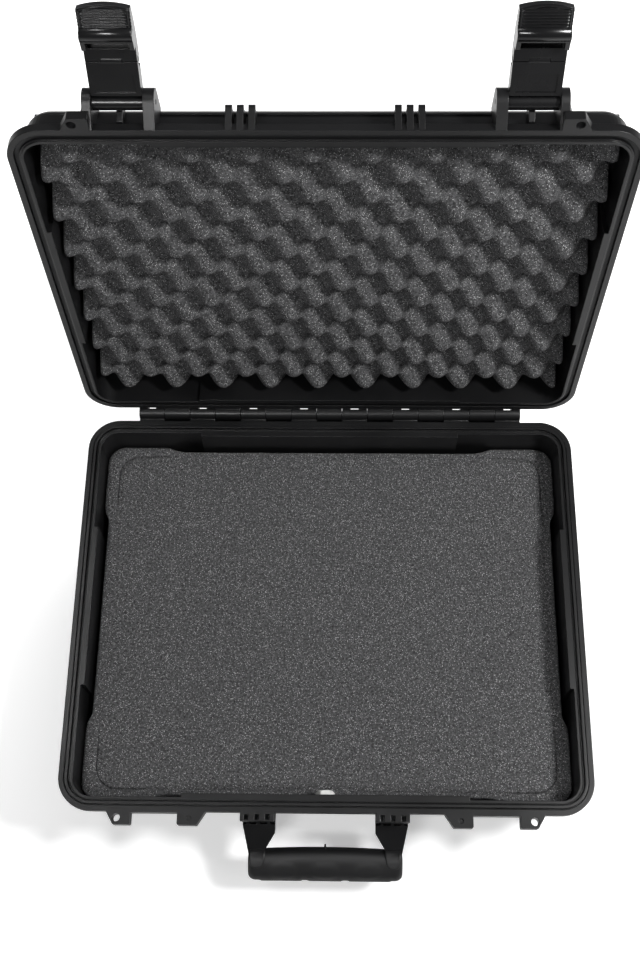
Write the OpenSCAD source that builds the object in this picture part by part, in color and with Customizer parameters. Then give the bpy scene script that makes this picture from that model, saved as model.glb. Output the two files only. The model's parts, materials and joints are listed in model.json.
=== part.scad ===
// Rugged hard case for a laptop, in millimetres.
// X runs across the case, Y from its front (handle) to its back (hinge) and Z up.
// The origin is the middle of the base's underside. The lid stands open on its hinge,
// the latches are swung up and the handle hangs part of the way down.

/* [Case] */
// Width over the rim
case_w = 474; // [450:1:520]
// Depth over the rim
case_d = 378; // [360:1:420]
// Height of the base, from the ground to its rim face
base_h = 104; // [98:1:125]
// Corner radius of the rim, seen from above
corner_r = 30; // [26:1:36]
// Width of the rim, from its outer edge to the opening
rim_w = 12.5; // [12:0.5:15]
// Thickness of the rim plate
rim_t = 7; // [6:0.5:8]
// Wall thickness
wall = 4; // [3:0.5:5]
// Gap between the two rim faces with the lid shut
parting_gap = 0.3; // [0.2:0.1:0.8]
// How far the walls lean in from rim to far edge
draft = 2; // [1:0.5:3]
// Radius of the base's lower edge and of the lid's crown edge
edge_r = 14; // [10:1:16]
// How far the middle of each wall steps in
step_in = 3.5; // [2:0.5:4]
// Distance from a latch bay to the stepped stretch of the front and back walls
step_gap = 2.5; // [1.5:0.5:20]
// Half length of the stepped stretch in the side walls
step_y = 77; // [60:1:95]

/* [Base] */
// Height of the ribs that the base stands on
foot_h = 10; // [8:1:12]
// Distance of the standing ribs from the rim's outer edge
foot_inset = 30; // [28:1:40]
// Width of a standing rib
foot_w = 10; // [8:1:14]
// How far the tongue stands above the rim face
tongue_h = 2; // [1.5:0.1:2.5]
// Width of the tongue
tongue_w = 2.6; // [2:0.1:3]
// Distance of the tongue's middle line from the rim's outer edge
tongue_inset = 7; // [6.5:0.1:7.5]

/* [Lid] */
// Height of the lid's body above its rim face
lid_body_h = 38; // [35:1:46]
// Height of the ribs on the crown
crown_rib_h = 6.7; // [4:0.1:9]
// Width of the seal groove
groove_w = 4.2; // [3.8:0.1:4.6]
// Depth of the seal groove
groove_d = 4.5; // [4.2:0.1:5]
// How far the lid opens from shut
lid_open = 96; // [90:1:100]

/* [Hinge] */
// Distance of the hinge axis behind the rim's edge
hinge_out = 9; // [8.5:0.5:11]
// Length of the row of knuckles
hinge_len = 377; // [340:1:380]
// Number of knuckles, always odd
knuckles = 15; // [11:2:17]
// Outer radius of a knuckle
knuckle_r = 7; // [6:0.5:7.5]
// Radius of the hinge rod
hinge_pin_r = 2.5; // [2:0.1:3]
// Gap between neighbouring knuckles
knuckle_gap = 0.4; // [0.2:0.1:0.8]
// Length of the slot in the back of each base knuckle
window_w = 8; // [5:0.5:10]

/* [Tabs] */
// How far the tabs stand out in front of the rim
tab_out = 11.4; // [10:0.1:13]
// Thickness of the base's tabs
tab_t = 10; // [8:0.5:12]
// Thickness of the lid's tabs
lid_tab_t = 8; // [6:0.5:10]
// Diameter of the padlock holes
lock_hole_d = 7; // [6:0.1:8]
// Distance of the padlock holes from the side of the latch bay
lock_hole_x = 12.5; // [10:0.1:13.5]
// Distance of the padlock holes in front of the rim
lock_hole_y = 5.5; // [5:0.1:6.5]
// Diameter of the dimples in the inner tabs
dimple_d = 4; // [3:0.1:5]

/* [Latches] */
// Distance of each latch's middle from the rim's side edge
latch_side = 87; // [81:1:87]
// Width of the bay that a latch lies in
bay_w = 41; // [41:0.5:43]
// Width of the link and of its barrel
link_w = 37; // [34:0.5:38]
// Width of the lever
lever_w = 37; // [35:0.5:38]
// Distance of the ear pin in front of the rim
ear_out = 8.4; // [8:0.1:9.5]
// Height of the ear pin above the lid's rim face
ear_up = 20; // [18:0.5:22]
// Radius of the ears round the pin
ear_r = 10; // [9:0.5:11]
// Thickness of the inner ear
ear_in_t = 8.4; // [6:0.1:9]
// Thickness of the outer ear
ear_out_t = 6.5; // [5:0.1:8]
// Radius of the link's barrel
barrel_r = 6; // [5.5:0.1:6.5]
// Distance between the link's two pins
link_len = 34; // [32:0.5:36]
// Width of the link's middle knuckle
link_knuckle_w = 14.6; // [12:0.1:18]
// Distance from the ear pin to the tip of the lever
latch_len = 78.5; // [77:0.5:80]
// Radius of the latch pins
latch_pin_r = 2; // [1.5:0.1:2.5]
// Number of grooves in the lever's grip
grooves = 7; // [5:1:8]
// Distance between the grooves
groove_pitch = 2.4; // [2:0.1:2.6]
// How far the latches are swung from shut
latch_swing = 104; // [90:1:120]

/* [Handle] */
// Distance of each handle bracket's middle from the middle of the case
bracket_x = 59.6; // [56:0.1:66]
// Width of a bracket
bracket_w = 29.6; // [28:0.1:32]
// How far the brackets stand out in front of the rim
bracket_out = 7.2; // [6.5:0.1:9]
// Distance of the handle's axis below the rim face
pivot_down = 32; // [28:1:36]
// Distance of the handle's axis behind the rim's front edge
pivot_in = 2; // [1:0.5:3]
// Width of a slot in the bracket
slot_w = 3.9; // [3.4:0.1:4.4]
// Distance between the slots
slot_pitch = 9.3; // [8.5:0.1:9.8]
// Thickness of a handle leaf
leaf_t = 2.2; // [1.8:0.1:2.6]
// Radius of the handle pins
handle_pin_r = 2.5; // [2:0.1:3]
// Thickness of the handle's arms
arm_t = 8; // [6:0.5:9]
// Distance from the axis to the outer edge of the grip
handle_len = 59.8; // [58:0.1:64]
// Thickness of the grip
grip_t = 21; // [18:0.5:23]
// Width of the grip at its middle
grip_w = 29; // [26:0.5:30]
// Half length of the grip
grip_x = 68.7; // [64:0.1:70]
// Angle of the handle below level
handle_drop = 30; // [0:1:60]

/* [Foam] */
// Distance of the base foam's top below the rim face
foam_down = 33; // [26:1:40]
// Thickness of the lower pad
pad_t = 20; // [14:1:26]
// Gap between the foam and the walls or between two pieces of foam
foam_gap = 0.4; // [0.3:0.1:0.8]
// Width of the foam frame beside the cut-out plug
frame_side = 12.5; // [11.5:0.5:22]
// Width of the foam frame in front of the cut-out plug and behind it
frame_end = 10.1; // [9.6:0.5:15]
// Corner radius of the plug
plug_r = 20; // [12:1:26]
// How far the middle of each side of the foam steps in
foam_step_in = 5; // [4:0.5:5.5]
// Distance from the rim's side edge to the stepped stretch in the foam's front and back
foam_lobe_x = 78; // [68:1:96]
// Distance from the rim's front edge to the stepped stretch in the foam's sides
foam_lobe_y = 84; // [70:1:98]
// Gap beside the lid's foam, at the stepped stretches of the side walls
lid_foam_side = 2.5; // [1:0.5:8]
// Gap in front of the lid's foam and behind it, at the stepped stretches of the walls
lid_foam_end = 1; // [1:0.5:6]
// Distance between two peaks in a row of the lid's foam
peak_pitch = 45.3; // [40:0.1:50]
// Distance from peak to valley in the lid's foam
peak_h = 18; // [12:0.5:20]
// Distance of the peaks from the lid's rim face
peak_down = 4.5; // [4:0.1:8]

/* [Purge valve] */
// Distance of the valve's axis below the rim face
valve_down = 18; // [17:0.5:20]
// Radius of the valve's shank
valve_r = 5; // [4.5:0.5:5.5]
// Radius of the valve's head
valve_head_r = 9.3; // [9:0.1:9.8]
// Thickness of the valve's head
valve_head_t = 4; // [3:0.5:5]
// Width of the nut across its flats
nut_flats = 15; // [14.5:0.5:17]
// Thickness of the nut
nut_t = 5.5; // [4.5:0.5:7]
// Thickness of the washer ring under the head
valve_ring_t = 0.8; // [0.6:0.1:1.2]

/* [Hidden] */

$fn = 64;
shell_col = "#1c1c1d";
trim_col = "#242426";
foam_col = "#4a4a4c";
steel_col = "#b9bcc0";
press = 0.01;
running = 0.08;
overlap = 1;

front_y = -case_d / 2;
lid_z = base_h + parting_gap;
hinge_y = case_d / 2 + hinge_out;
hinge_z = base_h + parting_gap / 2;
knuckle_pitch = hinge_len / knuckles;

wall_inset = rim_w - wall;
wall_y = front_y + wall_inset;
body_r = corner_r - wall_inset;
land_step = 1;
step_inset = wall_inset + step_in;
inner_step_inset = rim_w + step_in;
floor_z = foot_h + wall;
lid_inner_h = lid_body_h - wall;

latch_x = case_w / 2 - latch_side;
bay_in = latch_x - bay_w / 2;
bay_out = latch_x + bay_w / 2;
step_x = bay_in - step_gap;
ear_y = front_y - ear_out;
ear_z = lid_z + ear_up;
ear_gap = 0.35;
plate_in = 4.9;
plate_out = barrel_r - 0.6;
hook_r = 5;
hook_from = link_len + 11.6;
hook_at = link_len + 22.5;
pocket_to = hook_at - hook_r;
pocket_half = 15.2;
knuckle_out = 5;
knuckle_in = 3.3;
grip_in = 10;

pivot_y = front_y + pivot_in;
pivot_z = base_h - pivot_down;
bracket_r = 6.6;
leaf_r = 6.4;
arm_start = 7.2;
arm_end = 47;
arm_in = bracket_x - bracket_w / 2 + 0.2;
arm_out = bracket_x + bracket_w / 2 - 0.2;

foam_top = base_h - foam_down;
pad_top = floor_z + 0.3 + pad_t;
inner_draft = draft / 2;
foam_inset = rim_w + inner_draft + foam_gap;
plug_x = case_w / 2 - foam_inset - frame_side;
plug_y = case_d / 2 - foam_inset - frame_end;
foam_step_x = case_w / 2 - foam_lobe_x;
foam_step_y = case_d / 2 - foam_lobe_y;
lid_foam_x = case_w / 2 - inner_step_inset - lid_foam_side;
lid_foam_y = case_d / 2 - inner_step_inset - lid_foam_end;
peak_shift = -6.3;

valve_z = base_h - valve_down;
valve_wall_y = front_y + step_inset;
valve_in_y = front_y + inner_step_inset;

// Carries a piece drawn on the shut lid to where it lies with the lid open.
module opened() {
  translate([0, hinge_y, hinge_z])
    rotate([-lid_open, 0, 0])
      translate([0, -hinge_y, -hinge_z])
        children();
}

// Carries a latch piece, drawn hanging from its ear pin, to where it lies.
module swung(side) {
  opened()
    translate([side * latch_x, ear_y, ear_z])
      rotate([-latch_swing, 0, 0])
        children();
}

// Carries a handle piece, drawn level with its axis on the X axis, to where it lies.
module dropped() {
  translate([0, pivot_y, pivot_z])
    rotate([handle_drop, 0, 0])
      children();
}

// A rod along X, centred.
module rod(r, len) {
  rotate([0, 90, 0])
    cylinder(r = r, h = len, center = true);
}

// A side profile in Y and Z, drawn out to a width along X.
module across(width) {
  rotate([90, 0, 90])
    linear_extrude(width, center = true)
      children();
}

// The case's outline seen from above, set in from the rim's edge.
module outline(inset, r = undef) {
  w = case_w - 2 * inset;
  d = case_d - 2 * inset;
  c = is_undef(r) ? max(corner_r - inset, 3) : r;
  square([w - 2 * c, d], center = true);
  square([w, d - 2 * c], center = true);
  for (sx = [-1, 1], sy = [-1, 1])
    translate([sx * (w / 2 - c), sy * (d / 2 - c)])
      circle(c);
}

// A ring that follows the outline between two insets.
module ring(from, to, z, h) {
  translate([0, 0, z])
    linear_extrude(h)
      difference() {
        outline(from);
        outline(to);
      }
}

// Four blocks along the middles of the four sides, from one inset to another.
module side_blocks(from, to, z, h, half_x, half_y) {
  for (s = [-1, 1]) {
    translate([-half_x, s > 0 ? case_d / 2 - to : -case_d / 2 + from, z])
      cube([2 * half_x, to - from, h]);
    translate([s > 0 ? case_w / 2 - to : -case_w / 2 + from, -half_y, z])
      cube([to - from, 2 * half_y, h]);
  }
}

// The outside of a shell: upright at its rim, leaning in, with a rounded far edge.
module shell_outside(rim_z, far_z) {
  up = far_z > rim_z ? 1 : -1;
  inset = wall_inset + draft + body_r;
  hull() {
    translate([0, 0, up > 0 ? rim_z : rim_z - 1])
      linear_extrude(1)
        outline(wall_inset, $fn = 40);
    for (sx = [-1, 1], sy = [-1, 1])
      translate([sx * (case_w / 2 - inset), sy * (case_d / 2 - inset), far_z - up * edge_r])
        rotate_extrude($fn = 40)
          intersection() {
            translate([body_r - edge_r, 0])
              circle(edge_r, $fn = 40);
            translate([0, -edge_r])
              square([body_r, 2 * edge_r]);
          }
  }
}

// The hollow of a shell, with its leaning walls.
module shell_inside(rim_z, far_z) {
  up = far_z > rim_z ? 1 : -1;
  hull() {
    translate([0, 0, rim_z - (up > 0 ? 1 : 0)])
      linear_extrude(1)
        outline(rim_w, $fn = 48);
    translate([0, 0, far_z - (up > 0 ? 0.5 : 0)])
      linear_extrude(0.5)
        outline(rim_w + inner_draft, $fn = 48);
  }
}

// Point where a line from p touches a circle, on one side or the other.
function touch(p, c, r, side) =
  let (v = p - c, a = acos(r / norm(v)), b = atan2(v[1], v[0]))
    c + r * [cos(b + side * a), sin(b + side * a)];

// One knuckle's barrel with its root in the rim plate.
module knuckle(k, root_z) {
  translate([(k - (knuckles - 1) / 2) * knuckle_pitch, 0, 0]) {
    translate([0, hinge_y, hinge_z])
      rod(knuckle_r, knuckle_pitch - knuckle_gap);
    translate([-(knuckle_pitch - knuckle_gap) / 2, case_d / 2 - overlap, root_z])
      cube([knuckle_pitch - knuckle_gap, hinge_out + overlap, rim_t - parting_gap / 2]);
  }
}

// A tab beside a latch bay, seen from above: one square side, one slanted side, eased tips.
module tab(bay, tip, root, z, t) {
  way = sign(tip - bay);
  end = front_y - tab_out;
  translate([0, 0, z])
    linear_extrude(t)
      polygon([
        [bay, front_y + overlap], [bay, end + 1.3], [bay + way * 0.4, end + 0.4], [bay + way * 1.3, end],
        [tip - way * 0.6, end], [tip + way * 0.4, end + 0.5], [root, front_y], [root, front_y + overlap]
      ]);
}

// The padlock tab on the outer side of the bay.
module lock_tab(side, z, t) {
  tab(side * bay_out, side * (bay_out + 15.2), side * (bay_out + 22), z, t);
}

// The tab on the inner side of the bay, which guards the latch.
module guard_tab(side) {
  tab(side * bay_in, side * (bay_in - 17), side * (bay_in - 24.5), base_h - tab_t, tab_t);
}

// The rim's edge between the two tabs of a bay, a little further out and thicker.
module bay_edge(side) {
  translate([side * latch_x - bay_w / 2 - 1, front_y - 1, base_h - tab_t])
    cube([bay_w + 2, wall_inset + 2, tab_t]);
}

// The shelf under the row of knuckles.
module hinge_shelf() {
  translate([-hinge_len / 2, case_d / 2 - wall_inset - 1, hinge_z - knuckle_r - 4.2])
    cube([hinge_len, wall_inset, 5]);
  translate([-hinge_len / 2, case_d / 2 - wall_inset - 1, hinge_z - knuckle_r - 4.2])
    cube([hinge_len, wall_inset + hinge_out + 2, 3.8]);
}

// A small gusset under a tab.
module tab_gusset(x) {
  translate([x, 0, 0])
    across(3)
      polygon([
        [wall_y + step_in + overlap, base_h - overlap], [front_y - tab_out + 3, base_h - overlap],
        [front_y - tab_out + 3, base_h - tab_t - 1], [wall_y + step_in + overlap, base_h - tab_t - 22]
      ]);
}

// The ledge on the front wall that a latch's hook pulls up on.
module catch_ledge(side) {
  lip = wall_y - 6;
  under = ear_z - pocket_to + 0.8;
  translate([side * latch_x, 0, 0])
    across(2 * pocket_half - 1.4)
      polygon([
        [wall_y + overlap, under + 14], [wall_y - 2, under + 11], [lip, under + 6],
        [lip, under], [wall_y + overlap, under]
      ]);
}

// A bracket for the handle: a comb of teeth under the rim, with three slots between them.
module bracket(side) {
  bar_y = front_y - bracket_out;
  translate([side * bracket_x, 0, 0])
    difference() {
      across(bracket_w) {
        translate([pivot_y, pivot_z])
          circle(bracket_r);
        polygon([
          [valve_wall_y + overlap, base_h], [bar_y, base_h], [bar_y, base_h - rim_t],
          [pivot_y - 5.6, pivot_z + 8.4], [pivot_y - bracket_r * cos(40), pivot_z + bracket_r * sin(40)],
          [pivot_y, pivot_z], [pivot_y, pivot_z - bracket_r], [pivot_y + 5, pivot_z - bracket_r + 0.4],
          [valve_wall_y + overlap, pivot_z - bracket_r - 7]
        ]);
      }
      for (k = [-1 : 1])
        translate([k * slot_pitch - slot_w / 2, 0, 0]) {
          translate([0, bar_y + 0.8, pivot_z - pivot_down])
            cube([slot_w, bracket_out - 2.3, 2 * pivot_down + 2]);
          translate([0, pivot_y - 3 * leaf_r, pivot_z - pivot_down])
            cube([slot_w, 4 * leaf_r + 0.8, 2 * pivot_down - rim_t - 2]);
        }
    }
}

module base_shell() {
  color(shell_col)
    difference() {
      union() {
        difference() {
          shell_outside(base_h, foot_h);
          side_blocks(-1, step_inset, -1, base_h - rim_t + 1, step_x, step_y);
        }
        translate([0, 0, base_h - rim_t])
          linear_extrude(rim_t)
            outline(0);
        ring(tongue_inset - tongue_w / 2, tongue_inset + tongue_w / 2, base_h - overlap, tongue_h + overlap);
        base_feet();
        for (s = [-1, 1]) {
          lock_tab(s, base_h - tab_t, tab_t);
          guard_tab(s);
          bay_edge(s);
          tab_gusset(s * (bay_out + 7));
          tab_gusset(s * (bay_in - 5));
          catch_ledge(s);
          bracket(s);
        }
        hinge_shelf();
        for (k = [0 : 2 : knuckles - 1]) {
          knuckle(k, base_h - rim_t);
          translate([(k - (knuckles - 1) / 2) * knuckle_pitch - knuckle_pitch / 2 + 1, hinge_y - 4, hinge_z - knuckle_r - 1])
            cube([knuckle_pitch - 2, 4.5, 2]);
        }
      }
      difference() {
        shell_inside(base_h + 5, floor_z);
        side_blocks(rim_w - 1, inner_step_inset, floor_z - 1, base_h - floor_z + 1, step_x, step_y);
      }
      for (s = [-1, 1])
        ring(tongue_inset + s * (tongue_w / 2 + 0.45) - 0.45, tongue_inset + s * (tongue_w / 2 + 0.45) + 0.45,
             base_h - 1.2, 2);
      translate([0, 0, base_h - land_step])
        linear_extrude(land_step + 1)
          outline(tongue_inset + 2.9);
      translate([0, hinge_y, hinge_z])
        rod(hinge_pin_r + press, hinge_len + 10);
      for (k = [0 : 2 : knuckles - 1])
        translate([(k - (knuckles - 1) / 2) * knuckle_pitch - window_w / 2, hinge_y, 0]) {
          translate([0, hinge_pin_r + 0.2, 0])
            cube([window_w, knuckle_r, base_h + 20]);
          translate([0, 1.2, hinge_z + hinge_pin_r + 0.3])
            cube([window_w, knuckle_r, 10]);
        }
      for (s = [-1, 1]) {
        translate([s * (bay_out + lock_hole_x), front_y - lock_hole_y, 0])
          cylinder(d = lock_hole_d, h = base_h + 10);
        translate([s * (bay_in - 10.5), front_y - lock_hole_y, base_h - 1.2])
          cylinder(d = dimple_d, h = 2);
        translate([s * bracket_x, pivot_y, pivot_z])
          rod(handle_pin_r + press, bracket_w + 2);
      }
      translate([0, valve_in_y + 5, valve_z])
        rotate([90, 0, 0])
          cylinder(r = valve_r + 0.1, h = 20);
    }
}

// The ribs that the base stands on: a ring and three cross ribs.
module base_feet() {
  ring(foot_inset, foot_inset + foot_w, 0, foot_h + overlap);
  for (s = [-1 : 1])
    translate([s * case_w / 4 - foot_w / 2, -case_d / 2 + foot_inset + 1, 0])
      cube([foot_w, case_d - 2 * foot_inset - 2, foot_h + overlap]);
}

// The crown's ribs: a ring with long ribs inside it.
module crown_ribs() {
  z = lid_z + lid_body_h - overlap;
  inset = foot_inset + foot_w;
  ring(inset, inset + foot_w, z, crown_rib_h + overlap);
  for (k = [-1 : 1])
    translate([-case_w / 2 + inset + 1, k * case_d / 6 - foot_w / 2, z])
      cube([case_w - 2 * inset - 2, foot_w, crown_rib_h + overlap]);
}

// One ear of a latch: a lobe round the pin, standing on the rim and the wall.
module ear(x, t) {
  c = [ear_y, ear_z];
  foot = [front_y, lid_z];
  back = [wall_y + 4, lid_z + lid_body_h - 3];
  translate([x, 0, 0])
    across(t) {
      translate(c)
        circle(ear_r);
      polygon([
        [wall_y + 5, lid_z], foot, touch(foot, c, ear_r, -1),
        c, touch(back, c, ear_r, 1), back, [wall_y + 5, lid_z + lid_body_h - 6]
      ]);
    }
}

// A slanted web on the outer side of the outer ear.
module ear_gusset(side) {
  x = latch_x + link_w / 2 + ear_gap + ear_out_t;
  translate([0, 0, lid_z + 1])
    linear_extrude(ear_up + 2)
      polygon([
        [side * (x - 1), ear_y - 1], [side * (x + 0.6), ear_y - 1],
        [side * (x + 7), wall_y + 1], [side * (x - 1), wall_y + 1]
      ]);
}

module lid_shell() {
  ear_in_x = latch_x - link_w / 2 - ear_gap - ear_in_t / 2;
  ear_out_x = latch_x + link_w / 2 + ear_gap + ear_out_t / 2;
  rib_len = 22;
  color(shell_col)
    opened()
      difference() {
        union() {
          difference() {
            shell_outside(lid_z, lid_z + lid_body_h);
            side_blocks(-1, step_inset, lid_z + rim_t, lid_body_h, step_x, step_y);
          }
          translate([0, 0, lid_z])
            linear_extrude(rim_t)
              outline(0);
          translate([0, 0, lid_z - land_step])
            linear_extrude(land_step + overlap)
              outline(tongue_inset + 3.2);
          crown_ribs();
          for (s = [-1, 1]) {
            lock_tab(s, lid_z, lid_tab_t);
            ear(s * ear_in_x, ear_in_t);
            ear(s * ear_out_x, ear_out_t);
            ear_gusset(s);
            translate([s * latch_x, 0, 0])
              across(4.6)
                polygon([
                  [wall_y + overlap, lid_z + 9], [front_y + 2, lid_z + 11],
                  [ear_y + barrel_r + 0.6, lid_z + ear_up - 3],
                  [ear_y + barrel_r + 0.6, lid_z + ear_up + 4], [wall_y + overlap, lid_z + ear_up + 7]
                ]);
            for (k = [-1 : 1])
              translate([s * (bracket_x + 1.9) + k * 8.5, 0, 0])
                across(5)
                  difference() {
                    union() {
                      polygon([
                        [wall_y + step_in + overlap, lid_z + 1], [front_y, lid_z + 1],
                        [front_y - bracket_out, lid_z + rib_len - 6],
                        [wall_y + step_in + overlap, lid_z + rib_len + 8]
                      ]);
                      translate([front_y - bracket_out + 4, lid_z + rib_len - 5])
                        circle(4);
                    }
                  }
          }
          for (k = [1 : 2 : knuckles - 1])
            knuckle(k, lid_z);
        }
        difference() {
          shell_inside(lid_z - 5, lid_z + lid_inner_h);
          side_blocks(rim_w - 1, inner_step_inset, lid_z - 2, lid_inner_h + 3, step_x, step_y);
        }
        ring(tongue_inset - groove_w / 2, tongue_inset + groove_w / 2, lid_z - 1, groove_d + 1);
        translate([0, hinge_y, hinge_z])
          rod(hinge_pin_r + running, hinge_len + 10);
        for (s = [-1, 1]) {
          translate([s * latch_x, ear_y, ear_z])
            rod(latch_pin_r + press, 2 * link_w);
          translate([s * (bay_out + lock_hole_x), front_y - lock_hole_y, lid_z - 1])
            cylinder(d = lock_hole_d, h = lid_tab_t + 2);
        }
      }
}

module lid_seal() {
  face = tongue_h - parting_gap + 0.3;
  color("#303032")
    opened()
      ring(tongue_inset - groove_w / 2 + 0.1, tongue_inset + groove_w / 2 - 0.1,
           lid_z + face, groove_d - face - 0.02);
}

module hinge_pin() {
  color(steel_col)
    translate([0, hinge_y, hinge_z])
      rod(hinge_pin_r, hinge_len - 4);
}

// The link: barrel at the ear pin, plate, and a middle knuckle at the lever pin.
module latch_link(side) {
  end = -link_len + knuckle_out + 1.2;
  color(shell_col)
    swung(side)
      difference() {
        union() {
          across(link_w)
            difference() {
              union() {
                circle(barrel_r);
                translate([-plate_out, end])
                  square([plate_out + plate_in, link_len - knuckle_out - 1.2 - barrel_r - 1.4]);
                translate([-plate_out, -barrel_r - 3])
                  square([plate_out + 1.6, barrel_r + 3]);
                translate([0.4, -link_len + 0.3])
                  square([plate_in - 0.4, 8]);
              }
              translate([0, -link_len])
                circle(knuckle_in + 0.3);
            }
          across(link_knuckle_w)
            translate([0, -link_len]) {
              circle(knuckle_out);
              translate([-knuckle_out, 0])
                square([knuckle_out + plate_in, knuckle_out + 3]);
            }
        }
        // shallow bare panel on the inner face
        translate([-link_w / 2 + 4, plate_in - 0.8, -link_len + 10])
          cube([link_w - 8, 3, link_len - 20]);
        rod(latch_pin_r + running, link_w + 4);
        translate([0, 0, -link_len])
          rod(latch_pin_r + press, link_w + 4);
      }
}

// Side profile of the lever: bowed skin outside, hook and grip inside.
module lever_profile() {
  skin = [
    [-plate_out, -link_len], [-plate_out, -link_len - 6], [-plate_out + 0.8, -link_len - 14],
    [-plate_out + 2.6, -link_len - 23], [-plate_out + 5.4, -link_len - 32], [-plate_out + 8.4, -link_len - 39.5],
    [-plate_out + 10.4, -latch_len]
  ];
  inside = [
    [grip_in, -latch_len], [grip_in, -hook_at - 3], [hook_r + 8, -hook_at - 2], [hook_r + 8, -hook_at + 2],
    [grip_in, -hook_from + 0.5], [grip_in - 1, -hook_from], [plate_in, -hook_from],
    [plate_in, -link_len - 0.3], [0, -link_len - 0.3]
  ];
  polygon(concat(skin, inside));
  translate([hook_r + 4, -hook_at])
    circle(hook_r);
}

// The lever: side knuckles round its pin, a hook behind and a grooved grip with a bowed tip.
module latch_lever(side) {
  tip_r = 52;
  color(shell_col)
    swung(side)
      difference() {
        union() {
          intersection() {
            across(lever_w)
              lever_profile();
            translate([0, latch_len / 2, -latch_len + tip_r])
              rotate([90, 0, 0])
                cylinder(r = tip_r, h = latch_len, $fn = 128);
            translate([-lever_w / 2, -20, -latch_len])
              cube([lever_w, 50, latch_len - link_len]);
          }
          translate([0, 0, -link_len])
            rod(knuckle_in, link_w);
        }
        // room for the link's middle knuckle
        translate([0, 0, -link_len])
          rod(knuckle_out + 0.4, link_knuckle_w + 0.6);
        translate([-link_knuckle_w / 2 - 0.3, -10, -link_len - knuckle_out - 1])
          cube([link_knuckle_w + 0.6, 10, knuckle_out + 8]);
        // pocket that the base's ledge enters
        translate([-pocket_half, -1, -pocket_to])
          cube([2 * pocket_half, 30, pocket_to - hook_from + 1.6]);
        for (k = [0 : grooves - 1])
          translate([-lever_w / 2 - 1, grip_in - 0.9, -latch_len + 3 + k * groove_pitch])
            cube([lever_w + 2, 3, groove_pitch / 2]);
        translate([0, 0, -link_len])
          rod(latch_pin_r + running, link_w + 10);
      }
}

module ear_pin(side) {
  color(steel_col)
    opened()
      translate([side * latch_x + side * (ear_out_t - ear_in_t) / 2, ear_y, ear_z])
        rod(latch_pin_r, link_w + 2 * ear_gap + ear_in_t + ear_out_t - 1);
}

module lever_pin(side) {
  color(steel_col)
    swung(side)
      translate([0, 0, -link_len])
        rod(latch_pin_r, link_w - 1);
}

// One arm's outline with the handle level, from its leaves to the rounded end in the grip.
module arm_outline(side) {
  end_r = 7;
  end_x = grip_x - end_r - 0.6;
  polygon([
    [side * arm_in, -arm_start], [side * arm_out, -arm_start], [side * (end_x + end_r), -arm_end + end_r],
    [side * (end_x - end_r), -arm_end + end_r], [side * (end_x - end_r), -31], [side * arm_in, -15]
  ]);
  translate([side * end_x, -arm_end + end_r])
    circle(end_r);
}

module handle_frame() {
  color(shell_col)
    dropped()
      difference() {
        union() {
          for (s = [-1, 1]) {
            translate([0, 0, -arm_t / 2])
              linear_extrude(arm_t)
                arm_outline(s);
            for (k = [-1 : 1])
              translate([s * (bracket_x + (slot_w - leaf_t) / 2 - 0.3) + k * slot_pitch, 0, 0])
                across(leaf_t) {
                  circle(leaf_r);
                  translate([-arm_start - overlap, -arm_t / 2])
                    square([arm_start + overlap, arm_t]);
                }
          }
          translate([-grip_x + 14, -handle_len + 8, -3])
            cube([2 * grip_x - 28, 11, 6]);
        }
        for (s = [-1, 1])
          translate([s * bracket_x, 0, 0])
            rod(handle_pin_r + running, bracket_w + 4);
      }
}

// The grip's outline with the handle level: straight outer edge, bowed inner edge.
module grip_outline() {
  bow = 4.1;
  half = grip_x - 14;
  bow_r = (half * half + bow * bow) / (2 * bow);
  corner = 3;
  intersection() {
    translate([0, -handle_len + corner]) {
      translate([-grip_x + corner, 0])
        circle(corner);
      translate([grip_x - corner, 0])
        circle(corner);
      translate([-grip_x + corner, -corner])
        square([2 * (grip_x - corner), corner + 1]);
      translate([-grip_x, 0])
        square([2 * grip_x, grip_w]);
    }
    translate([0, -handle_len + grip_w - bow_r])
      circle(bow_r, $fn = 360);
  }
}

module handle_grip() {
  section_r = 9.6;
  mid = -handle_len + grip_w / 2;
  color(trim_col)
    dropped()
      difference() {
        intersection() {
          translate([0, 0, -grip_t])
            linear_extrude(2 * grip_t)
              grip_outline();
          across(2 * grip_x + 2) {
            translate([mid - grip_w / 2 + section_r, -grip_t / 2])
              square([grip_w - 2 * section_r, grip_t]);
            translate([mid - grip_w / 2, -grip_t / 2 + section_r])
              square([grip_w, grip_t - 2 * section_r]);
            for (sy = [-1, 1], sz = [-1, 1])
              translate([mid + sy * (grip_w / 2 - section_r), sz * (grip_t / 2 - section_r)])
                circle(section_r);
          }
        }
        for (s = [-1, 1])
          translate([0, 0, -grip_t])
            linear_extrude(2 * grip_t)
              arm_outline(s);
        translate([-grip_x + 14, -handle_len + 8, -3])
          cube([2 * grip_x - 28, 11, 6]);
      }
}

module handle_pin(side) {
  color(steel_col)
    translate([side * bracket_x, pivot_y, pivot_z])
      rod(handle_pin_r, bracket_w - 1);
}

// The outline of the base's foam, with its sides stepped in between the corner lobes.
module foam_outline(gap) {
  edge = foam_inset + gap;
  difference() {
    outline(edge);
    for (s = [-1, 1]) {
      translate([-foam_step_x, s > 0 ? case_d / 2 - edge - foam_step_in : -case_d / 2 + edge - 1])
        square([2 * foam_step_x, foam_step_in + 1]);
      translate([s > 0 ? case_w / 2 - edge - foam_step_in : -case_w / 2 + edge - 1, -foam_step_y])
        square([foam_step_in + 1, 2 * foam_step_y]);
    }
  }
}

// A rectangle with rounded corners, given by its half sizes.
module rounded(x, y, r) {
  square([2 * x, 2 * (y - r)], center = true);
  square([2 * (x - r), 2 * y], center = true);
  for (sx = [-1, 1], sy = [-1, 1])
    translate([sx * (x - r), sy * (y - r)])
      circle(r);
}

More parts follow.
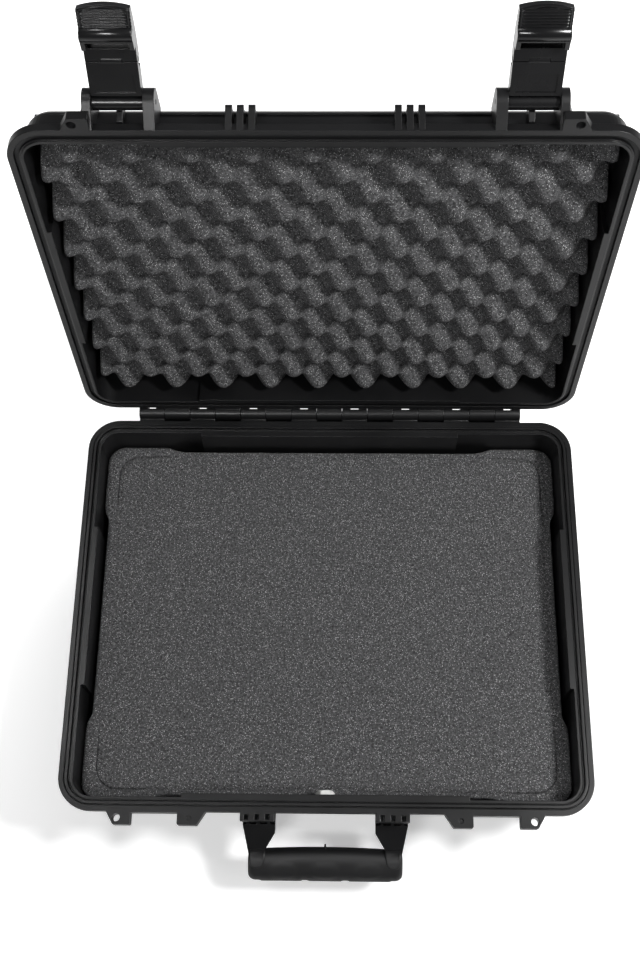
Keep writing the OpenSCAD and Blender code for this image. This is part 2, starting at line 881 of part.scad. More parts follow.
module base_foam_pad() {
  color(foam_col)
    translate([0, 0, floor_z + 0.3])
      linear_extrude(pad_t)
        foam_outline(draft / 2);
}

module base_foam_frame() {
  color(foam_col)
    translate([0, 0, pad_top + 0.3])
      linear_extrude(foam_top - pad_top - 0.3)
        difference() {
          foam_outline(0);
          rounded(plug_x + foam_gap, plug_y + foam_gap, plug_r + foam_gap);
        }
}

module base_foam_plug() {
  color(foam_col)
    translate([0, 0, pad_top + 0.3])
      linear_extrude(foam_top - pad_top - 0.3)
        rounded(plug_x, plug_y, plug_r);
}

// Lines of the lid foam's mesh across X: the two edges and a quarter of the pitch between.
foam_step = peak_pitch / 4;
foam_xs = [
  -lid_foam_x,
  for (k = [-30 : 30])
    let (x = peak_shift + k * foam_step)
      if (abs(x) < lid_foam_x - 0.8 * foam_step) x,
  lid_foam_x
];
foam_ys = [
  -lid_foam_y,
  for (k = [-30 : 30])
    let (y = k * foam_step)
      if (abs(y) < lid_foam_y - 0.8 * foam_step) y,
  lid_foam_y
];

// Height of the lid foam's waved face, above the lid's rim face with the lid shut.
function foam_face(x, y) =
  peak_down + peak_h / 2
  + peak_h / 2 * cos(360 * (x - peak_shift) / peak_pitch) * cos(360 * y / peak_pitch);

// A point of the lid foam's face: waved inside, level along its edges, with its corners cut.
function foam_point(i, j) =
  let (
    nx = len(foam_xs), ny = len(foam_ys), x = foam_xs[i], y = foam_ys[j],
    side = i == 0 || i == nx - 1, end = j == 0 || j == ny - 1
  )
    side && end ? [x - sign(x) * 4, y - sign(y) * 4, peak_down + peak_h / 2]
    : side || end ? [x, y, peak_down + peak_h / 2]
    : [x, y, foam_face(x, y)];

module lid_foam() {
  nx = len(foam_xs);
  ny = len(foam_ys);
  far = nx * ny;
  back = lid_inner_h - 0.3;
  face_points = [for (j = [0 : ny - 1]) for (i = [0 : nx - 1]) foam_point(i, j)];
  // the twelve points of the back, counterclockwise from the first corner
  under = [
    [0, 0], [1, 0], [nx - 2, 0], [nx - 1, 0], [nx - 1, 1], [nx - 1, ny - 2],
    [nx - 1, ny - 1], [nx - 2, ny - 1], [1, ny - 1], [0, ny - 1], [0, ny - 2], [0, 1]
  ];
  back_points = [for (p = under) let (q = foam_point(p[0], p[1])) [q[0], q[1], back]];
  waves = [
    for (j = [0 : ny - 2], i = [0 : nx - 2])
      let (p = j * nx + i, q = p + nx, turn = (i + j) % 2 == 0)
        each turn
          ? [[p, p + 1, q + 1], [p, q + 1, q]]
          : [[p, p + 1, q], [p + 1, q + 1, q]]
  ];
  last = (ny - 1) * nx;
  sides = [
    [far, far + 1, 1, 0],
    concat([far + 1, far + 2], [for (i = [nx - 2 : -1 : 1]) i]),
    [far + 2, far + 3, nx - 1, nx - 2],
    [far + 3, far + 4, 2 * nx - 1, nx - 1],
    concat([far + 4, far + 5], [for (j = [ny - 2 : -1 : 1]) j * nx + nx - 1]),
    [far + 5, far + 6, last + nx - 1, last - 1],
    [far + 6, far + 7, last + nx - 2, last + nx - 1],
    concat([far + 7, far + 8], [for (i = [1 : nx - 2]) last + i]),
    [far + 8, far + 9, last, last + 1],
    [far + 9, far + 10, last - nx, last],
    concat([far + 10, far + 11], [for (j = [1 : ny - 2]) j * nx]),
    [far + 11, far, 0, nx]
  ];
  color(foam_col)
    opened()
      translate([0, 0, lid_z])
        polyhedron(
          points = concat(face_points, back_points),
          faces = concat(waves, sides, [[for (k = [11 : -1 : 0]) far + k]]),
          convexity = 8
        );
}

// Carries a valve piece, drawn with its axis on Z pointing out of the wall, to the front wall.
module on_valve(y) {
  translate([0, y, valve_z])
    rotate([90, 0, 0])
      children();
}

module valve_body() {
  head_from = valve_ring_t;
  color(trim_col)
    on_valve(valve_wall_y)
      difference() {
        union() {
          translate([0, 0, head_from])
            cylinder(r = valve_head_r, h = valve_head_t);
          translate([0, 0, -step_inset + inner_step_inset - wall - nut_t - wall - 1])
            cylinder(r = valve_r, h = nut_t + wall + 2 + head_from);
        }
        translate([0, 0, -40])
          cylinder(r = valve_r - 3, h = 80);
        translate([0, 0, head_from + valve_head_t - 2])
          cylinder(r = valve_head_r - 2, h = 3);
      }
}

module valve_nut() {
  color("#f2f2ee")
    on_valve(valve_in_y + nut_t + 0.02)
      difference() {
        intersection() {
          cylinder(r = nut_flats / sqrt(3), h = nut_t, $fn = 6);
          cylinder(r1 = nut_flats / 2 - 0.9, r2 = nut_flats / 2 - 0.9 + nut_t, h = nut_t);
        }
        translate([0, 0, -1])
          cylinder(r = valve_r + 0.05, h = nut_t + 2);
      }
}

module valve_ring() {
  color("#161617")
    on_valve(valve_wall_y)
      translate([0, 0, 0.02])
        difference() {
          cylinder(r = valve_head_r - 1, h = valve_ring_t - 0.04);
          translate([0, 0, -1])
            cylinder(r = valve_r + 0.3, h = 3);
        }
}

module valve_membrane() {
  color("#e6e6e2")
    on_valve(valve_wall_y - valve_ring_t - valve_head_t + 2)
      translate([0, 0, 0.02])
        cylinder(r = valve_head_r - 2.6, h = 0.4);
}

module valve_cap() {
  color(trim_col)
    on_valve(valve_wall_y - valve_ring_t - valve_head_t + 2)
      translate([0, 0, 0.5])
        difference() {
          cylinder(r = valve_head_r - 2.1, h = 2.2);
          for (a = [0 : 60 : 300])
            rotate(a)
              translate([valve_head_r - 6, 0, -1])
                cylinder(r = 1.2, h = 5);
        }
}

base_shell();
lid_shell();
lid_seal();
hinge_pin();
latch_link(-1);  // left_latch_link
latch_link(1);  // right_latch_link
latch_lever(-1);  // left_latch_lever
latch_lever(1);  // right_latch_lever
ear_pin(-1);  // left_ear_pin
ear_pin(1);  // right_ear_pin
lever_pin(-1);  // left_lever_pin
lever_pin(1);  // right_lever_pin
handle_frame();
handle_grip();
handle_pin(-1);  // left_handle_pin
handle_pin(1);  // right_handle_pin
base_foam_pad();
base_foam_frame();
base_foam_plug();
lid_foam();
valve_body();
valve_nut();
valve_ring();
valve_membrane();
valve_cap();
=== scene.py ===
"""A rugged laptop case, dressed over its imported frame: shells, latches, handle, foam and valve."""
import json
import math

import bmesh
import bpy
from bpy.props import FloatProperty, PointerProperty, StringProperty
from mathutils import Matrix, Vector, noise


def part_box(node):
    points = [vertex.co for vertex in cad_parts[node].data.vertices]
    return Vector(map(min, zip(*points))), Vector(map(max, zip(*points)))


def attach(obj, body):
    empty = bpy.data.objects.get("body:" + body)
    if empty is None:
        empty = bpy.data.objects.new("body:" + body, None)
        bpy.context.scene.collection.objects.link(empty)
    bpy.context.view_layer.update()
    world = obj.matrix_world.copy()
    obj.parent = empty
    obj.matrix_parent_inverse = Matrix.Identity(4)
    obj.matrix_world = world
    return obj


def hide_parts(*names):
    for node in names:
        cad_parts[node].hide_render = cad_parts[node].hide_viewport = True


bl_info = {
    "name": "Laptop hard case",
    "version": (1, 0, 0),
    "blender": (4, 5, 0),
    "location": "View3D > Sidebar > Hard case",
    "description": "Dresses the packed laptop case with its finishes, its foam and a plain studio",
    "category": "Object",
}

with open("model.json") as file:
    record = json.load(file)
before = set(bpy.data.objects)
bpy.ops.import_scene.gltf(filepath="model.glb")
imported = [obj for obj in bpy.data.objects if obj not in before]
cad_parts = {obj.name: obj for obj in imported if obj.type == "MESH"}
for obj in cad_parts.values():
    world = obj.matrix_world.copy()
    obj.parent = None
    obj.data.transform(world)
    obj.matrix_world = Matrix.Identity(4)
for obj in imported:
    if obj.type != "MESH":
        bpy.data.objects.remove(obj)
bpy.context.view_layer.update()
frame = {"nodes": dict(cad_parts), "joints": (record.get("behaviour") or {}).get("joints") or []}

MM = 0.001
PLUG_LOW, PLUG_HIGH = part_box("base_foam_plug")
FRAME_LOW, FRAME_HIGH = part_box("base_foam_frame")
PAD_LOW, PAD_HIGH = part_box("base_foam_pad")


def joint(name):
    """The frame's joint of that name."""
    for one in frame["joints"]:
        if one["name"] == name:
            return one
    raise RuntimeError(f"no joint called {name}")


# Half the shells' width and depth over the rim, and the rounding between their walls and far faces
SHELL_HALF_X = 237 * MM
SHELL_HALF_Y = 189 * MM
EDGE_RADIUS = 14.0
# From the rim's outline in to the middle of that rounding, and the turn of its corners there
EDGE_INSET = 24.5
EDGE_CORNER = 7.5
# Heights of the far faces with the lid shut, and of the lid's rim
BASE_FAR_Z = 10 * MM
LID_FAR_Z = 142.3 * MM
LID_RIM_Z = 104.3 * MM

# How far the latches are swung open and the handle hangs down, in degrees
LATCH_OPEN = 104
HANDLE_DROP = 30

# How much a cut foam face rises and falls, and how far it lies low on the whole
FOAM_SWELL = 0.5 * MM
FOAM_SINK = 0.3 * MM
# Corners of the foam's outside and of the plug
FOAM_CORNER = 17 * MM
PLUG_CORNER = 20 * MM

# The lid's foam: half its size at the back, how much shorter its face is on the hinge side, its depth
# from the rim to the back, and the middle of one of its valleys
LID_FOAM_HALF_X = 218.3 * MM
LID_FOAM_HALF_Y = 171.8 * MM
LID_FOAM_SHORT = 9 * MM
LID_FOAM_DEPTH = 33.5 * MM
VALLEY_X = -10.8 * MM
VALLEY_Y = 4.2 * MM

# The photograph's camera: focal length and picture height in pixels, the sensor it is set on in mm,
# its place, and the directions to its right and up
FOCAL_PX, PICTURE_PX, SENSOR = 1243.07, 956, 36.0
CAMERA_PLACE = (15.9 * MM, -338.9 * MM, 1219.0 * MM)
CAMERA_RIGHT = Vector((0.99978, 0.01295, -0.01633))
CAMERA_UP = Vector((-0.00563, 0.92222, 0.38662))

# Half the floor's width, and the distances from the case between which it turns white to the camera
FLOOR_REACH = 6.0
FLOOR_NEAR, FLOOR_FAR = 0.7, 1.7

# Lights: name, place, aim, width and height in m, power in W, and whether glossy faces mirror it
LIGHTS = [
    ("back_light", (0.2, 1.9, 1.4), (0, 0, 0.1), (0.9, 0.5), 42, False),
    ("side_light", (0.95, -0.1, 1.42), (0, 0.2, 0.3), (0.24, 0.24), 20, True),
    ("left_window", (-0.85, 0.5, 2.3), (-0.2, 0, 0.1), (0.35, 0.4), 6, True),
    ("latch_light", (-0.35, -0.7, 1.45), (0, 0.3, 0.55), (0.35, 0.2), 6, True),
]

HINGE = Vector(joint("lid_swing")["pos_m"])
LID_OPEN = math.radians(joint("lid_swing")["range_deg"][1])
OPENED = Matrix.Translation(HINGE) @ Matrix.Rotation(-LID_OPEN, 4, "X") @ Matrix.Translation(-HINGE)


# Colours and nodes


def linear(hex_colour):
    """An sRGB hex value as linear red, green, blue and alpha."""
    parts = [int(hex_colour[i : i + 2], 16) / 255 for i in (1, 3, 5)]
    return [c / 12.92 if c <= 0.04045 else ((c + 0.055) / 1.055) ** 2.4 for c in parts] + [1.0]


def put(tree, kind, sockets=None, **settings):
    """Adds a node with its settings. Each of its sockets is given a value or another node's output."""
    made = tree.nodes.new("ShaderNode" + kind)
    for key, value in settings.items():
        setattr(made, key, value)
    for key, value in (sockets or {}).items():
        if isinstance(value, bpy.types.NodeSocket):
            tree.links.new(value, made.inputs[key])
        else:
            made.inputs[key].default_value = value
    return made


def ramp(tree, source, stops):
    """A colour ramp from a value, with its stops as (place, linear colour)."""
    made = put(tree, "ValToRGB", {"Fac": source})
    while len(made.color_ramp.elements) < len(stops):
        made.color_ramp.elements.new(0.5)
    for element, (place, colour) in zip(made.color_ramp.elements, stops):
        element.position = place
        element.color = colour
    return made.outputs["Color"]


def new_material(name):
    """An empty material and its tree, with the shader joined to the output."""
    made = bpy.data.materials.new(name)
    made.use_nodes = True
    tree = made.node_tree
    tree.nodes.clear()
    shader = put(tree, "BsdfPrincipled")
    put(tree, "OutputMaterial", {"Surface": shader.outputs["BSDF"]})
    return made, tree, shader


def moulded(name, colour, rough, grain_mm, depth_mm, ior=1.49, edge_mm=0.9):
    """A moulded plastic or rubber: a fine grain from the mould, and a slow change in its gloss."""
    made, tree, shader = new_material(name)
    place = put(tree, "TexCoord").outputs["Object"]
    grain = put(
        tree,
        "TexNoise",
        {"Vector": place, "Scale": 1 / (grain_mm * MM), "Detail": 3.0, "Roughness": 0.6},
    )
    slow = put(tree, "TexNoise", {"Vector": place, "Scale": 1 / (60 * MM), "Detail": 4.0, "Roughness": 0.55})
    base = linear(colour)
    dusty = [min(c * 1.35 + 0.001, 1) for c in base[:3]] + [1.0]
    tone = ramp(tree, slow.outputs["Fac"], [(0.35, base), (0.75, dusty)])
    gloss = put(
        tree,
        "MapRange",
        {
            "Value": slow.outputs["Fac"],
            "From Min": 0.3,
            "From Max": 0.7,
            "To Min": rough - 0.04,
            "To Max": rough + 0.05,
        },
    )
    bump = put(tree, "Bump", {"Height": grain.outputs["Fac"], "Distance": depth_mm * MM, "Strength": 1.0})
    if edge_mm > 0:
        eased = put(tree, "Bevel", {"Radius": edge_mm * MM}, samples=6)
        tree.links.new(eased.outputs["Normal"], bump.inputs["Normal"])
    tree.links.new(tone, shader.inputs["Base Color"])
    tree.links.new(gloss.outputs["Result"], shader.inputs["Roughness"])
    tree.links.new(bump.outputs["Normal"], shader.inputs["Normal"])
    shader.inputs["IOR"].default_value = ior
    return made


def foam_material(name, colour, glint_colour, cell_mm):
    """Open-cell polyurethane foam: a dark sponge with painted glints, pale specks put into its colour where
    cut cell walls would catch the light.
    """
    made, tree, shader = new_material(name)
    place = put(tree, "TexCoord").outputs["Object"]
    cells = put(tree, "TexVoronoi", {"Vector": place, "Scale": 1 / (cell_mm * MM), "Randomness": 1.0})
    mottle = put(
        tree,
        "TexNoise",
        {"Vector": place, "Scale": 1 / (2.6 * cell_mm * MM), "Detail": 4.0, "Roughness": 0.7},
    )
    base = linear(colour)
    deep = [c * 0.35 for c in base[:3]] + [1.0]
    pale = [c * 1.6 for c in base[:3]] + [1.0]
    body = ramp(tree, mottle.outputs["Fac"], [(0.36, deep), (0.5, base), (0.66, pale)])
    # painted glints: pale specks in the middle of cells picked at random, standing in for light caught by cut
    # cell walls
    chance = put(tree, "SeparateColor", {"Color": cells.outputs["Color"]})
    picked = put(
        tree,
        "MapRange",
        {"Value": chance.outputs["Red"], "From Min": 0.72, "From Max": 1.0, "To Min": 0.0, "To Max": 1.0},
    )
    middle = put(
        tree,
        "MapRange",
        {"Value": cells.outputs["Distance"], "From Min": 0.28, "From Max": 0.5, "To Min": 1.0, "To Max": 0.0},
    )
    speck_glint = put(
        tree,
        "Math",
        {0: picked.outputs["Result"], 1: middle.outputs["Result"]},
        operation="MULTIPLY",
    )
    mixed = put(
        tree,
        "Mix",
        {"Factor": speck_glint.outputs["Value"], "A": body, "B": linear(glint_colour)},
        data_type="RGBA",
    )
    bump = put(tree, "Bump", {"Height": mottle.outputs["Fac"], "Distance": 0.9 * MM, "Strength": 0.8})
    tree.links.new(mixed.outputs["Result"], shader.inputs["Base Color"])
    tree.links.new(bump.outputs["Normal"], shader.inputs["Normal"])
    shader.inputs["Roughness"].default_value = 0.95
    shader.inputs["Specular IOR Level"].default_value = 0.2
    return made


def steel_material(name):
    """Drawn stainless rod: a cool grey metal with a fine lengthwise grain."""
    made, tree, shader = new_material(name)
    place = put(tree, "TexCoord").outputs["Object"]
    squeezed = put(tree, "Mapping", {"Vector": place, "Scale": (0.02, 1.0, 1.0)})
    grain = put(
        tree,
        "TexNoise",
        {"Vector": squeezed.outputs["Vector"], "Scale": 1 / (0.5 * MM), "Detail": 2.0},
    )
    bump = put(tree, "Bump", {"Height": grain.outputs["Fac"], "Distance": 0.02 * MM, "Strength": 1.0})
    tree.links.new(bump.outputs["Normal"], shader.inputs["Normal"])
    shader.inputs["Base Color"].default_value = linear("#c3c6ca")
    shader.inputs["Metallic"].default_value = 1.0
    shader.inputs["Roughness"].default_value = 0.28
    return made


FINISHES = {}


def finishes(colours):
    """Makes every finish once and keeps it by name."""
    if FINISHES:
        return
    # Polypropylene, injection moulded in a spark-textured mould: black with a satin sheen.
    FINISHES["shell"] = moulded("moulded_polypropylene", colours.shell, 0.36, 0.9, 0.04)
    # Glass-filled nylon, injection moulded and polished: the same black with a tighter highlight.
    FINISHES["latch"] = moulded("moulded_nylon", colours.latch, 0.24, 0.8, 0.012, ior=1.53, edge_mm=0.5)
    # The same nylon where the mould was polished: thin bright lines along ribs and bar.
    FINISHES["polished"] = moulded("polished_nylon", colours.latch, 0.2, 0.8, 0.004, ior=1.53, edge_mm=0)
    # Thermoplastic rubber moulded over the handle: matt and a little greyer.
    FINISHES["grip"] = moulded("overmoulded_rubber", colours.grip, 0.5, 0.8, 0.05, ior=1.5)
    # Silicone cord in the groove: dark, smooth and soft.
    FINISHES["seal"] = moulded("extruded_silicone", colours.seal, 0.55, 1.5, 0.03, ior=1.43)
    # Natural nylon hexagon nut: milky white.
    FINISHES["nut"] = moulded("moulded_white_nylon", colours.nut, 0.45, 1.0, 0.02, ior=1.53)
    # Breathing film behind the valve's cap: chalky white.
    FINISHES["film"] = moulded("ptfe_film", colours.nut, 0.8, 0.8, 0.02, ior=1.35)
    # Open-cell polyurethane foam, cut: charcoal, with painted glints of its cut cell walls as pale specks in
    # the colour. The real cells are about 0.6 mm, drawn at 0.8 mm so that the specks show.
    FINISHES["foam"] = foam_material("cut_polyurethane_foam", colours.foam, colours.speck_glint, 0.8)
    # Stainless steel, drawn rod.
    FINISHES["steel"] = steel_material("drawn_stainless_steel")


def dress(node_name, finish):
    """Gives a CAD node one finish all over."""
    thing = frame["nodes"][node_name]
    if not thing.material_slots:
        thing.data.materials.append(FINISHES[finish])
    for slot in thing.material_slots:
        slot.material = FINISHES[finish]


def add_piece(name, mesh_data, body, finish, replaced=(), smooth_angle=40.0):
    """Makes an object from a bmesh, gives it its finish and lets it ride on a body."""
    mesh = bpy.data.meshes.new(name)
    bmesh.ops.recalc_face_normals(mesh_data, faces=mesh_data.faces)
    mesh_data.to_mesh(mesh)
    mesh_data.free()
    made = bpy.data.objects.new(name, mesh)
    bpy.context.scene.collection.objects.link(made)
    mesh.materials.append(FINISHES[finish])
    for polygon in mesh.polygons:
        polygon.use_smooth = True
    mesh.set_sharp_from_angle(angle=math.radians(smooth_angle))
    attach(made, body)
    if replaced:
        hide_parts(*replaced)
    return made


# Outlines and lofts


def rounded_loop(half_x, half_y, radius, across=48, along=36, arc=12):
    """A rounded rectangle as points with their outward normals, counterclockwise from the right side."""
    corners = [(1, 1, 0), (-1, 1, 90), (-1, -1, 180), (1, -1, 270)]
    loop = []
    for index, (side_x, side_y, start) in enumerate(corners):
        centre = Vector((side_x * (half_x - radius), side_y * (half_y - radius)))
        for step in range(arc + 1):
            angle = math.radians(start + 90 * step / arc)
            out = Vector((math.cos(angle), math.sin(angle)))
            loop.append((centre + radius * out, out))
        following = corners[(index + 1) % 4]
        far = Vector((following[0] * (half_x - radius), following[1] * (half_y - radius)))
        out = Vector((math.cos(math.radians(start + 90)), math.sin(math.radians(start + 90))))
        count = across if index % 2 == 0 else along
        for step in range(1, count):
            loop.append((centre.lerp(far, step / count) + radius * out, out))
    return loop


def loft(rings, ends=True):
    """A closed skin over rings of equal length: filled at both ends, or led back to the first ring."""
    made = bmesh.new()
    rows = [[made.verts.new(point) for point in ring] for ring in rings]
    count = len(rows[0])
    for low, high in zip(rows, rows[1:] if ends else rows[1:] + rows[:1]):
        for i in range(count):
            j = (i + 1) % count
            made.faces.new((low[i], low[j], high[j], high[i]))
    if ends:
        made.faces.new(rows[0][::-1])
        made.faces.new(rows[-1])
    return made


def ease(value, start, end):
    """0 before start, 1 after end, and a smooth climb between."""
    t = min(max((value - start) / (end - start), 0.0), 1.0)
    return t * t * (3 - 2 * t)


def swell(point, size):
    """A slow unevenness for a cut foam face, the same every time."""
    return FOAM_SWELL * noise.noise(Vector((point[0] / size, point[1] / size, 3.7)))


class CaseSizes(bpy.types.PropertyGroup):
    """Sizes of the pieces that the scene adds."""

    peak_pitch_x: FloatProperty(
        name="Peak pitch across",
        description="Distance between two peaks in a row of the lid's foam",
        default=45.9 * MM,
        unit="LENGTH",
    )
    peak_pitch_y: FloatProperty(
        name="Peak pitch along",
        description="Distance between two rows that stand in line",
        default=44.9 * MM,
        unit="LENGTH",
    )
    peak_height: FloatProperty(
        name="Peak height",
        description="Height of the lid foam's peaks over its valleys",
        default=24 * MM,
        unit="LENGTH",
    )
    peak_down: FloatProperty(
        name="Peak depth",
        description="Distance of the peaks from the lid's rim face",
        default=4.7 * MM,
        unit="LENGTH",
    )
    foam_edge: FloatProperty(
        name="Foam edge",
        description="Rounding of the cut foam's upper edges",
        default=2.5 * MM,
        unit="LENGTH",
    )


class CaseColours(bpy.types.PropertyGroup):
    """Colours of the finishes, as sRGB hex values."""

    shell: StringProperty(name="Shells", description="Base and lid", default="#0f0f10")
    latch: StringProperty(name="Latches", description="Links and levers", default="#101011")
    grip: StringProperty(name="Grip", description="Rubber on the handle", default="#111112")
    seal: StringProperty(name="Seal", description="Cord in the lid's groove", default="#202021")
    nut: StringProperty(name="Nut", description="White nylon nut of the valve", default="#e9e9e4")
    foam: StringProperty(name="Foam", description="Base and lid foam", default="#4b4b4c")
    # pale colour of the foam's painted glints, where cut cell walls would catch the light
    speck_glint: StringProperty(name="Specks", description="Cut cell walls of the foam", default="#d2d2d2")
    floor: StringProperty(name="Floor", description="Studio floor", default="#f4f4f4")


class CASE_OT_shells(bpy.types.Operator):
    """Finish the base, the lid, their seal and the hinge rod"""

    bl_idname = "case.shells"
    bl_label = "Shells and hinge"

    def execute(self, context):
        finishes(context.scene.case_colours)
        for name in ("base_shell", "lid_shell"):
            dress(name, "shell")
        dress("lid_seal", "seal")
        dress("hinge_pin", "steel")
        return {"FINISHED"}


class CASE_OT_edge_bands(bpy.types.Operator):
    """Make the rounded bands that close the far edge of the base and the lid"""

    bl_idname = "case.edge_bands"
    bl_label = "Edge bands"

    def band(self, name, body, far_z, towards_rim, placed):
        """A thin ring on the shell's rounded edge, from its far face up to its wall."""
        reach_x, reach_y = SHELL_HALF_X - EDGE_INSET * MM, SHELL_HALF_Y - EDGE_INSET * MM
        # just outside the rounding, just inside it at both ends, and back through the wall
        face, end, inside = EDGE_RADIUS + 0.15, EDGE_RADIUS - 0.05, EDGE_RADIUS - 0.7
        path = [(12, end), (16, face)] + [(a, face) for a in range(25, 61, 9)] + [(66, end)]
        path += [(a, inside) for a in (64, 52, 40, 28, 14)]
        rings = []
        for angle, radius in path:
            out = radius * MM * math.cos(math.radians(angle))
            z = far_z + towards_rim * (EDGE_RADIUS - radius * math.sin(math.radians(angle))) * MM
            loop = rounded_loop(reach_x + out, reach_y + out, EDGE_CORNER * MM + out, 8, 8, 12)
            rings.append([placed @ Vector((p.x, p.y, z)) for p, _ in loop])
        add_piece(name, loft(rings, ends=False), body, "shell", (), 30)

    def execute(self, context):
        finishes(context.scene.case_colours)
        self.band("base_edge_band", "base", BASE_FAR_Z, 1, Matrix.Identity(4))
        self.band("lid_edge_band", "lid", LID_FAR_Z, -1, OPENED)
        return {"FINISHED"}


class CASE_OT_latches(bpy.types.Operator):
    """Finish the two draw latches and their pins"""

    bl_idname = "case.latches"
    bl_label = "Latches"

    def latch_place(self, side):
        """The latch's own axes: X along its pin, Y to its inner face and -Z to the lever's tip."""
        pin = Vector(joint(f"{side}_link_swing")["pos_m"])
        return Matrix.Translation(pin) @ Matrix.Rotation(-LID_OPEN - math.radians(LATCH_OPEN), 4, "X")

    def thumb_ribs(self, side):
        """Rounded ribs for the thumb inside a raised border that follows the lever's curved tip."""
        place = self.latch_place(side)
        # in mm: half the ribbed field's width, its tip and its root, the lever's face and the back of
        # the piece inside the lever, the tip's curve, the ribs' pitch and height, and the root's border
        half, low, high, face, behind = 17.4, -78.0, -61.4, 10.05, 9.0
        tip_radius, pitch, height, root = 52, 2.25, 1.0, 1.6
        columns, rows = 40, 84
        made = bmesh.new()
        grid = []
        for j in range(rows + 1):
            row = []
            for i in range(columns + 1):
                x = -half + 2 * half * i / columns
                tip = low + tip_radius - math.sqrt(tip_radius**2 - x**2)
                z = tip + (high - tip) * j / rows
                edge = min(z - tip, half - abs(x), root + high - z)
                rib = 0.5 - 0.5 * math.cos(2 * math.pi * (z - high) / pitch)
                # the ribs begin where the border has fallen away, and its outer edge turns down
                raised = max(rib * ease(edge, 1.3, 2.1), 1 - ease(edge, 1.0, 1.7))
                skirt = 1 - ease(edge, 0.0, 0.35) if z - tip < 1 or half - abs(x) < 1 else 0.0
                y = face + height * raised - 0.6 * skirt
                row.append(made.verts.new(place @ (Vector((x, y, z)) * MM)))
            grid.append(row)
        for low_row, high_row in zip(grid, grid[1:]):
            for i in range(columns):
                made.faces.new((low_row[i], low_row[i + 1], high_row[i + 1], high_row[i]))
        border = grid[0][:-1] + [row[-1] for row in grid[:-1]]
        border += grid[-1][:0:-1] + [row[0] for row in grid[:0:-1]]
        back = place.inverted()
        under = []
        for vert in border:
            point = back @ vert.co
            under.append(made.verts.new(place @ Vector((point.x, behind * MM, point.z))))
        for i in range(len(border)):
            j = (i + 1) % len(border)
            made.faces.new((border[i], border[j], under[j], under[i]))
        made.faces.new(under)
        add_piece(f"{side}_thumb_ribs", made, f"{side}_lever", "polished")

    def hook_bar(self, side):
        """The polished bar that draws the lever over the base's ledge."""
        place = self.latch_place(side)
        # in mm: the bar's middle, its two radii, and how its ends round off
        middle_y, middle_z, radius_y, radius_z = 9.3, -57.0, 4.9, 5.6
        ends = [(18.4, 1.2), (18.1, 0.5), (17.4, 0.0)]
        rings = []
        for x, shrink in [(-x, shrink) for x, shrink in ends] + ends[::-1]:
            ring = []
            for k in range(40):
                angle = 2 * math.pi * k / 40
                y = middle_y + (radius_y - shrink) * math.sin(angle)
                z = middle_z + (radius_z - shrink) * math.cos(angle)
                ring.append(place @ (Vector((x, y, z)) * MM))
            rings.append(ring)
        add_piece(f"{side}_hook_bar", loft(rings), f"{side}_lever", "polished")

    def execute(self, context):
        finishes(context.scene.case_colours)
        for side in ("left", "right"):
            dress(f"{side}_latch_link", "latch")
            dress(f"{side}_latch_lever", "latch")
            dress(f"{side}_ear_pin", "steel")
            dress(f"{side}_lever_pin", "steel")
            self.thumb_ribs(side)
            self.hook_bar(side)
        return {"FINISHED"}


